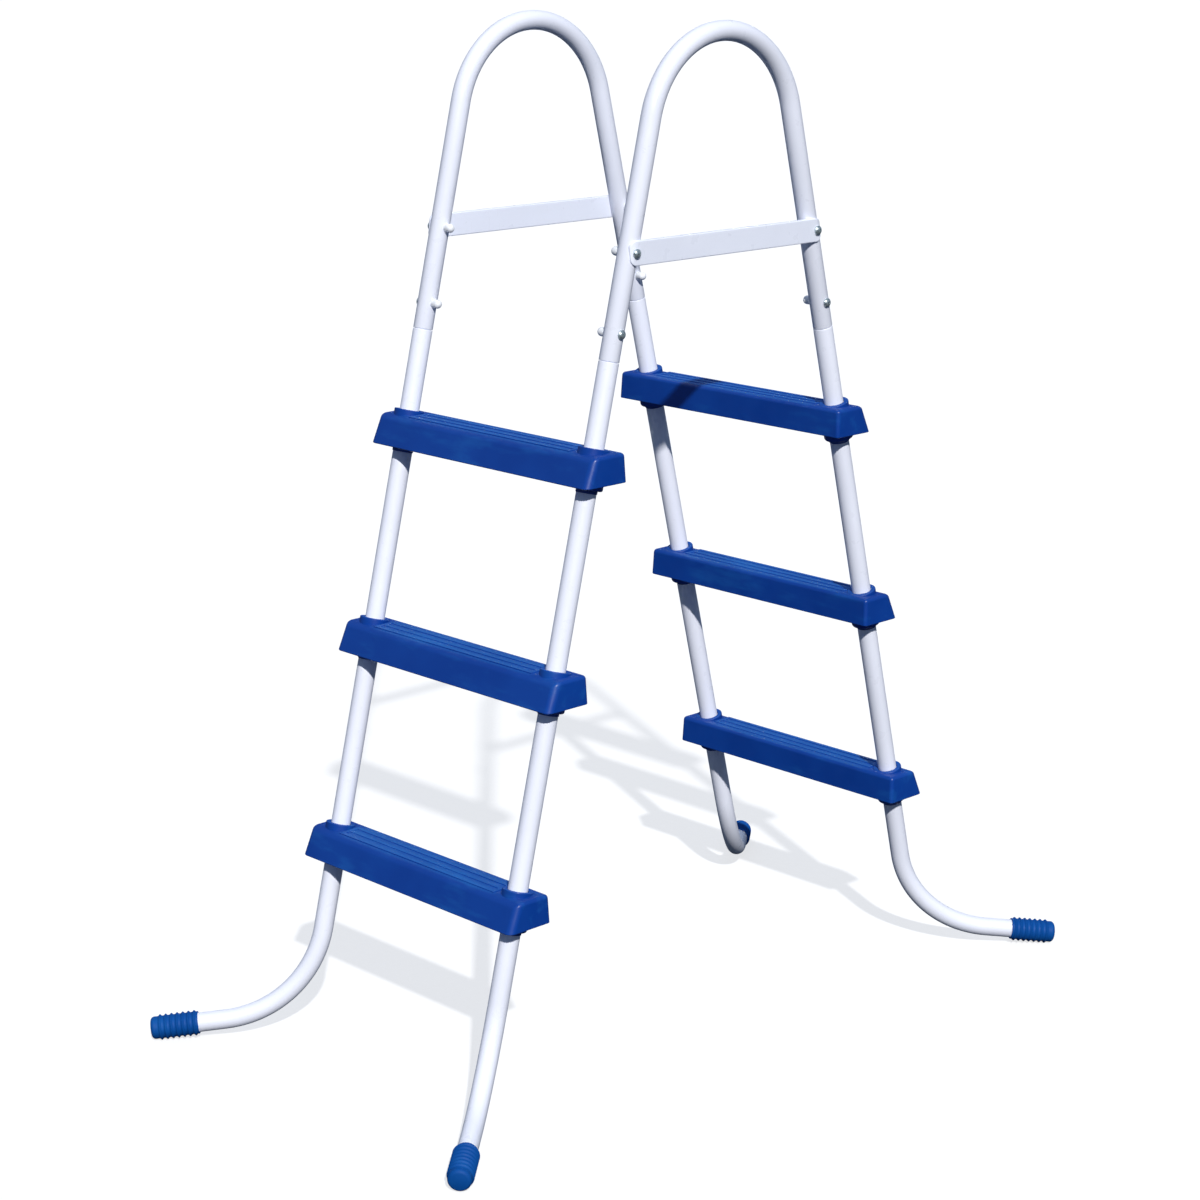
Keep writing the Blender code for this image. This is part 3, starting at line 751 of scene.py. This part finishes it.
def make_fasteners(ladder, side, x_sign, meshes):
    """The bolt and nut cap of a leg's joint, and those of the brace bar's end above it."""
    for joint, at in (("joint", JOINT), ("brace", BRACE)):
        bolt = f"{ladder}_{side}_{joint}_bolt"
        cap = f"{ladder}_{side}_{joint}_nut_cap"
        low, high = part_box(bolt)
        y = (low.y + high.y) / 2
        z = (low.z + high.z) / 2
        outer = high.x if x_sign > 0 else low.x
        seat = Vector((outer - x_sign * HEAD_HEIGHT, y, z))
        twist = Matrix.Rotation(TWIST_BY_Y * y + TWIST_BY_Z * at.z + x_sign, 4, "Z")
        place = Matrix.Translation(seat) @ outward(x_sign) @ twist
        piece(f"{bolt}_turned", meshes[f"{joint}_bolt"], ZINC, [bolt], place)
        low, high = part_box(cap)
        inner = high.x if x_sign > 0 else low.x
        place = Matrix.Translation((inner, y, z)) @ outward(x_sign)
        piece(f"{cap}_domed", meshes["nut_cap"], NUT_CAP_WHITE, [cap], place)


# ---------------------------------------------------------------- treads

TREAD_HEIGHT = 0.0370
TREAD_TOP_HALF_X = 0.2028
TREAD_RIM_HALF_X = 0.2042
TREAD_TOP_INNER_Y = -0.0255
TREAD_TOP_OUTER_Y = 0.0253
TREAD_RIM_INNER_Y = -0.0273
TREAD_RIM_OUTER_Y = 0.0409
TREAD_WALL = 0.0026
TREAD_EDGE_R = 0.0050
TREAD_FRONT_R = 0.0085
TREAD_CORNER_R = 0.0095
TREAD_ROUND_SEGMENTS = 8
TREAD_RIM_ROUND = 0.0011
TREAD_RIM_SEGMENTS = 4
TREAD_RIM_SHARPER_THAN = math.radians(60)
FLATS_WEIGHT = 100

# Along the leg, from where its centre line meets the tread's top.
COLLAR_TOP = 0.0042 / math.cos(LEAN)
COLLAR_BOTTOM = -0.0452 / math.cos(LEAN)

COLLAR_R = 0.0194
COLLAR_TOP_ROUND = 0.0008
COLLAR_LOW_ROUND = 0.0024
COLLAR_SIDES = 72
BORE_GAP = 0.0004
BORE_FLARE = 0.0004
BORE_PAST_MOUTH = 0.004
RIBS = 3
RIB_PITCH = 0.0131
RIB_MIDDLE_Y = 0.0034
RIB_WIDTH = 0.0064
RIB_HEIGHT = 0.0010
RIB_HALF_X = 0.1510
RIB_ROUND = 0.0008
RIB_ROOT = 0.75 * TREAD_WALL
RIB_END_ROOT = 0.6 * TREAD_WALL
RIB_END_INSET = 0.00008
BLOCK_SEGMENTS = 4
WEB_XS = (-0.075, 0.0, 0.075)
WEB_THICK = 0.0020
WEB_DROP = 0.0105
WEB_ROUND = 0.0004
WEB_INSET = 0.8
SCREW_HEAD_R = 0.0037
SCREW_HEAD_HEIGHT = 0.0024
SCREW_SHANK_R = 0.0020
SCREW_RECESS_ARM = 0.0020
SCREW_RECESS_WIDTH = 0.0008
SCREW_RECESS_DEPTH = 0.0014


def tread_shell():
    """A tread's tapered box, open below, with rounded edges, most at its front, and a rim."""
    shape = bmesh.new()
    bmesh.ops.create_cube(shape, size=2.0)
    for vert in shape.verts:
        top = vert.co.z > 0
        outer = vert.co.y > 0
        half = TREAD_TOP_HALF_X if top else TREAD_RIM_HALF_X
        if top:
            y = TREAD_TOP_OUTER_Y if outer else TREAD_TOP_INNER_Y
        else:
            y = TREAD_RIM_OUTER_Y if outer else TREAD_RIM_INNER_Y
        vert.co = (math.copysign(half, vert.co.x), y, 0.0 if top else -TREAD_HEIGHT)
    floor = [face for face in shape.faces if all(vert.co.z < 0.0 for vert in face.verts)]
    bmesh.ops.delete(shape, geom=floor, context="FACES_ONLY")
    # An edge's weight is its own round as a share of the largest one.
    weight = shape.edges.layers.float.new("bevel_weight_edge")
    for edge in shape.edges:
        if len(edge.link_faces) < 2:
            continue
        middle = (edge.verts[0].co + edge.verts[1].co) / 2
        along_x = abs(edge.verts[0].co.x - edge.verts[1].co.x) > TREAD_TOP_HALF_X
        round_r = TREAD_EDGE_R
        if middle.y > 0.0 and middle.z < 0.0:
            round_r = TREAD_CORNER_R
        if middle.y > 0.0 and along_x:
            round_r = TREAD_FRONT_R
        edge[weight] = round_r / TREAD_CORNER_R
    mesh = bpy.data.meshes.new("tread")
    shape.to_mesh(mesh)
    shape.free()
    shell = helper("tread", mesh)
    corners = shell.modifiers.new("corners", "BEVEL")
    corners.width = TREAD_CORNER_R
    corners.segments = TREAD_ROUND_SEGMENTS
    corners.limit_method = "WEIGHT"
    wall = shell.modifiers.new("wall", "SOLIDIFY")
    wall.thickness = TREAD_WALL
    wall.offset = -1.0
    rim = shell.modifiers.new("rim", "BEVEL")
    rim.width = TREAD_RIM_ROUND
    rim.segments = TREAD_RIM_SEGMENTS
    rim.limit_method = "ANGLE"
    rim.angle_limit = TREAD_RIM_SHARPER_THAN
    return shell


def rounded_block(name, lows, highs, radius):
    """A box with all its edges rounded."""
    shape = bmesh.new()
    bmesh.ops.create_cube(shape, size=1.0)
    size = Vector(highs) - Vector(lows)
    bmesh.ops.scale(shape, vec=size, verts=shape.verts)
    bmesh.ops.translate(shape, vec=(Vector(highs) + Vector(lows)) / 2, verts=shape.verts)
    bmesh.ops.bevel(
        shape, geom=shape.edges, offset=radius, segments=BLOCK_SEGMENTS, profile=0.5, affect="EDGES"
    )
    mesh = bpy.data.meshes.new(name)
    shape.to_mesh(mesh)
    shape.free()
    return mesh


def leaning(x_sign):
    """The frame of a collar: its origin where the leg's centre line meets the tread's top."""
    return Matrix.Translation((x_sign * RAIL_X, 0.0, 0.0)) @ Matrix.Rotation(LEAN, 4, "X")


def collar_mesh():
    """A collar round a leg, with a small round on its top rim and a larger one below."""
    points = [(0.0, COLLAR_TOP)]
    radius = COLLAR_TOP_ROUND
    points += arc(COLLAR_R - radius, COLLAR_TOP - radius, radius, 90, 0, 4)
    radius = COLLAR_LOW_ROUND
    points += arc(COLLAR_R - radius, COLLAR_BOTTOM + radius, radius, 0, -90, 6)
    points += [(0.0, COLLAR_BOTTOM)]
    return turned("collar", points, COLLAR_SIDES)


def bore_mesh():
    """The cutter for a collar's bore, flared a little at both mouths."""
    radius = TUBE_R + BORE_GAP
    mouth = radius + BORE_FLARE
    throat = radius + 0.3 * BORE_FLARE
    points = []
    for end, inward in ((COLLAR_TOP, -BORE_FLARE), (COLLAR_BOTTOM, BORE_FLARE)):
        outside = end - math.copysign(BORE_PAST_MOUTH, inward)
        half = [(0.0, outside), (mouth, outside), (mouth, end)]
        half += [(throat, end + 0.5 * inward), (radius, end + 1.5 * inward)]
        points += half if inward < 0 else half[::-1]
    return turned("bore", points, COLLAR_SIDES)


def tread_mesh():
    """A moulded tread: shell, ribs joined at their ends, webs below, and bored collars."""
    shell = tread_shell()
    helpers = []

    def join(name, mesh, operation, matrix=Matrix()):
        other = helper(name, mesh)
        other.matrix_world = matrix
        helpers.append(other)
        boolean(shell, other, operation)

    for number in range(RIBS):
        y = RIB_MIDDLE_Y + RIB_PITCH * (number - (RIBS - 1) / 2)
        low = (-RIB_HALF_X, y - RIB_WIDTH / 2, -RIB_ROOT)
        high = (RIB_HALF_X, y + RIB_WIDTH / 2, RIB_HEIGHT)
        join(f"rib_{number}", rounded_block("rib", low, high, RIB_ROUND), "UNION")
    reach = RIB_PITCH * (RIBS - 1) / 2
    for side, x_sign in SIDES:
        tip = RIB_HALF_X - RIB_END_INSET
        ends = sorted((x_sign * tip, x_sign * (RIB_HALF_X - RIB_WIDTH)))
        low = (ends[0], RIB_MIDDLE_Y - reach, -RIB_END_ROOT)
        high = (ends[1], RIB_MIDDLE_Y + reach, RIB_HEIGHT - RIB_END_INSET)
        join(f"{side}_rib_end", rounded_block("rib_end", low, high, RIB_ROUND), "UNION")
    for number, x in enumerate(WEB_XS):
        low = (x - WEB_THICK / 2, TREAD_TOP_INNER_Y + WEB_INSET * TREAD_EDGE_R, -WEB_DROP)
        high = (x + WEB_THICK / 2, TREAD_TOP_OUTER_Y - WEB_INSET * TREAD_FRONT_R, -TREAD_WALL / 2)
        join(f"web_{number}", rounded_block("web", low, high, WEB_ROUND), "UNION")
    for side, x_sign in SIDES:
        join(f"{side}_collar", collar_mesh(), "UNION", leaning(x_sign))
        join(f"{side}_bore", bore_mesh(), "DIFFERENCE", leaning(x_sign))
    mesh = baked(shell)
    for other in helpers:
        bpy.data.objects.remove(other)
    mesh.shade_smooth()
    mesh.set_sharp_from_angle(angle=SMOOTH_BELOW)
    shaded = helper("shaded_tread", mesh)
    flats = shaded.modifiers.new("flats", "WEIGHTED_NORMAL")
    flats.weight = FLATS_WEIGHT
    flats.keep_sharp = True
    mesh = baked(shaded)
    mesh.name = "moulded_tread"
    return mesh


def make_tread(ladder, y_sign, number, mesh, screw):
    """A tread at its height, turned to face outward, and the two screws inside it."""
    top = TREAD_TOPS[number]
    turn = Matrix.Rotation(0.0 if y_sign > 0 else math.pi, 4, "Z")
    place = Matrix.Translation((0.0, y_sign * spread(top), top)) @ turn
    name = f"{ladder}_tread_{number + 1}"
    piece(f"{name}_moulded", mesh, TREAD_BLUE, [name], place)
    for side, x_sign in SIDES:
        node = f"{name}_{side}_screw"
        low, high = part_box(node)
        head = low.x if x_sign > 0 else high.x
        seat = centre(node)
        seat.x = head + x_sign * SCREW_HEAD_HEIGHT
        at = Matrix.Translation(seat) @ outward(-x_sign)
        piece(f"{node}_turned", screw, ZINC, [node], at)


# ---------------------------------------------------------------- the ladder

fastener_meshes = {"nut_cap": turned("nut_cap", nut_cap_profile(), FASTENER_SIDES)}
for joint_name in ("joint", "brace"):
    bolt_low, bolt_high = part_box(f"back_right_{joint_name}_bolt")
    bolt_tip = HEAD_HEIGHT - (bolt_high.x - bolt_low.x)
    fastener_meshes[f"{joint_name}_bolt"] = head_with_recess(
        f"{joint_name}_bolt",
        pan_profile(HEAD_R, HEAD_HEIGHT, BOLT_R, bolt_tip),
        RECESS_ARM,
        RECESS_WIDTH,
        HEAD_HEIGHT + RECESS_ABOVE_HEAD,
        RECESS_DEPTH,
    )
screw_low, screw_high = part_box("back_tread_1_right_screw")
screw_tip = SCREW_HEAD_HEIGHT - (screw_high.x - screw_low.x)
screw_mesh = head_with_recess(
    "tread_screw",
    pan_profile(SCREW_HEAD_R, SCREW_HEAD_HEIGHT, SCREW_SHANK_R, screw_tip),
    SCREW_RECESS_ARM,
    SCREW_RECESS_WIDTH,
    SCREW_HEAD_HEIGHT + RECESS_ABOVE_HEAD,
    SCREW_RECESS_DEPTH,
)
foot_cap_mesh = turned("foot_cap", cap_profile(), CAP_SIDES)
tread = tread_mesh()
for side_name, x_side in SIDES:
    make_handrail(side_name, x_side)
    make_brace_bar(side_name, x_side)
    for ladder_name, y_side in LADDERS:
        make_leg(ladder_name, y_side, side_name, x_side)
        make_foot_cap(ladder_name, y_side, side_name, x_side, foot_cap_mesh)
        make_fasteners(ladder_name, side_name, x_side, fastener_meshes)
for ladder_name, y_side in LADDERS:
    for tread_number in range(len(TREAD_TOPS)):
        make_tread(ladder_name, y_side, tread_number, tread, screw_mesh)
# The nuts stay as the frame's own solids, hidden in their caps.
for node_name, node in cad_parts.items():
    if node_name.endswith("_nut"):
        node.data.materials.clear()
        node.data.materials.append(ZINC)


# ---------------------------------------------------------------- floor, light and camera

FLOOR_HALF = 60.0
FLOOR_GREY = (0.34, 0.34, 0.345, 1.0)
FLOOR_GLOW = 0.66
WHITE = (1.0, 1.0, 1.0, 1.0)
SKY_TINT = (0.54, 0.72, 1.05)
SKY_STOPS = ((0.0, 0.05), (0.42, 0.07), (0.52, 0.20), (0.72, 0.31), (1.0, 0.38))
CAMERA_PLACE = (2.5423, -2.4931, 1.4912)
CAMERA_TURN = (math.radians(75.262), 0.0, math.radians(46.047))
CAMERA_LENS = 83.0
CAMERA_SENSOR = 36.0


def make_floor():
    """A plain pale floor. It is see-through from below and leaves the light on the object alone."""
    shape = bmesh.new()
    bmesh.ops.create_grid(shape, x_segments=1, y_segments=1, size=FLOOR_HALF)
    mesh = bpy.data.meshes.new("floor")
    shape.to_mesh(mesh)
    shape.free()
    floor = bpy.data.objects.new("floor", mesh)
    bpy.context.scene.collection.objects.link(floor)
    material = bpy.data.materials.new("floor_paint")
    material.use_nodes = True
    tree = material.node_tree
    shader = tree.nodes["Principled BSDF"]
    shader.inputs["Base Color"].default_value = FLOOR_GREY
    shader.inputs["Emission Color"].default_value = WHITE
    shader.inputs["Emission Strength"].default_value = FLOOR_GLOW
    shader.inputs["Roughness"].default_value = 0.9
    shader.inputs["Specular IOR Level"].default_value = 0.0
    clear = tree.nodes.new("ShaderNodeBsdfTransparent")
    side = tree.nodes.new("ShaderNodeNewGeometry")
    mix = tree.nodes.new("ShaderNodeMixShader")
    tree.links.new(side.outputs["Backfacing"], mix.inputs["Fac"])
    tree.links.new(shader.outputs["BSDF"], mix.inputs[1])
    tree.links.new(clear.outputs["BSDF"], mix.inputs[2])
    tree.links.new(mix.outputs["Shader"], tree.nodes["Material Output"].inputs["Surface"])
    mesh.materials.append(material)
    floor.visible_diffuse = False
    floor.visible_glossy = False


def make_world():
    """Even studio surroundings: brightest overhead and dark below the horizon.

    The camera itself sees plain white in their place.
    """
    world = bpy.data.worlds.new("studio")
    bpy.context.scene.world = world
    world.use_nodes = True
    tree = world.node_tree
    background = tree.nodes["Background"]
    place = tree.nodes.new("ShaderNodeTexCoord")
    axes = tree.nodes.new("ShaderNodeSeparateXYZ")
    ramp = tree.nodes.new("ShaderNodeValToRGB")
    remap = tree.nodes.new("ShaderNodeMapRange")
    remap.inputs["From Min"].default_value = -1.0
    tree.links.new(place.outputs["Generated"], axes.inputs["Vector"])
    tree.links.new(axes.outputs["Z"], remap.inputs["Value"])
    tree.links.new(remap.outputs["Result"], ramp.inputs["Fac"])
    elements = ramp.color_ramp.elements
    while len(elements) < len(SKY_STOPS):
        elements.new(0.5)
    for element, (position, level) in zip(elements, SKY_STOPS):
        element.position = position
        element.color = (*(level * part for part in SKY_TINT), 1.0)
    seen = tree.nodes.new("ShaderNodeLightPath")
    pale = tree.nodes.new("ShaderNodeMix")
    pale.data_type = "RGBA"
    pale.inputs["B"].default_value = WHITE
    tree.links.new(seen.outputs["Is Camera Ray"], pale.inputs["Factor"])
    tree.links.new(ramp.outputs["Color"], pale.inputs["A"])
    tree.links.new(pale.outputs["Result"], background.inputs["Color"])
    background.inputs["Strength"].default_value = 1.0


def make_light(name, azimuth, elevation, angle, power, color):
    """A distant light. Azimuth 0 is along -Y and 90 along +X; angle is its apparent size."""
    around = math.radians(azimuth)
    up = math.radians(elevation)
    level = math.cos(up)
    towards = Vector((math.sin(around) * level, -math.cos(around) * level, math.sin(up)))
    light = bpy.data.lights.new(name, "SUN")
    light.angle = math.radians(angle)
    light.energy = power
    light.color = color
    lamp = bpy.data.objects.new(name, light)
    lamp.location = towards * 5.0
    lamp.rotation_mode = "QUATERNION"
    lamp.rotation_quaternion = towards.to_track_quat("Z", "Y")
    bpy.context.scene.collection.objects.link(lamp)
    return lamp


def make_camera():
    """The main view, from the right and in front, a little above."""
    camera = bpy.data.cameras.new("camera")
    camera.sensor_width = CAMERA_SENSOR
    camera.lens = CAMERA_LENS
    obj = bpy.data.objects.new("camera", camera)
    obj.location = CAMERA_PLACE
    obj.rotation_euler = CAMERA_TURN
    bpy.context.scene.collection.objects.link(obj)
    bpy.context.scene.camera = obj


make_floor()
make_world()
make_light("key", azimuth=56, elevation=38, angle=1.3, power=3.8, color=(1.0, 0.985, 0.95))
back_fill = make_light(
    "back_fill", azimuth=226, elevation=12, angle=20, power=2.6, color=(0.90, 0.95, 1.0)
)
back_fill.data.use_shadow = False
back_fill.visible_glossy = False
make_camera()
bpy.context.scene.view_settings.view_transform = "Standard"
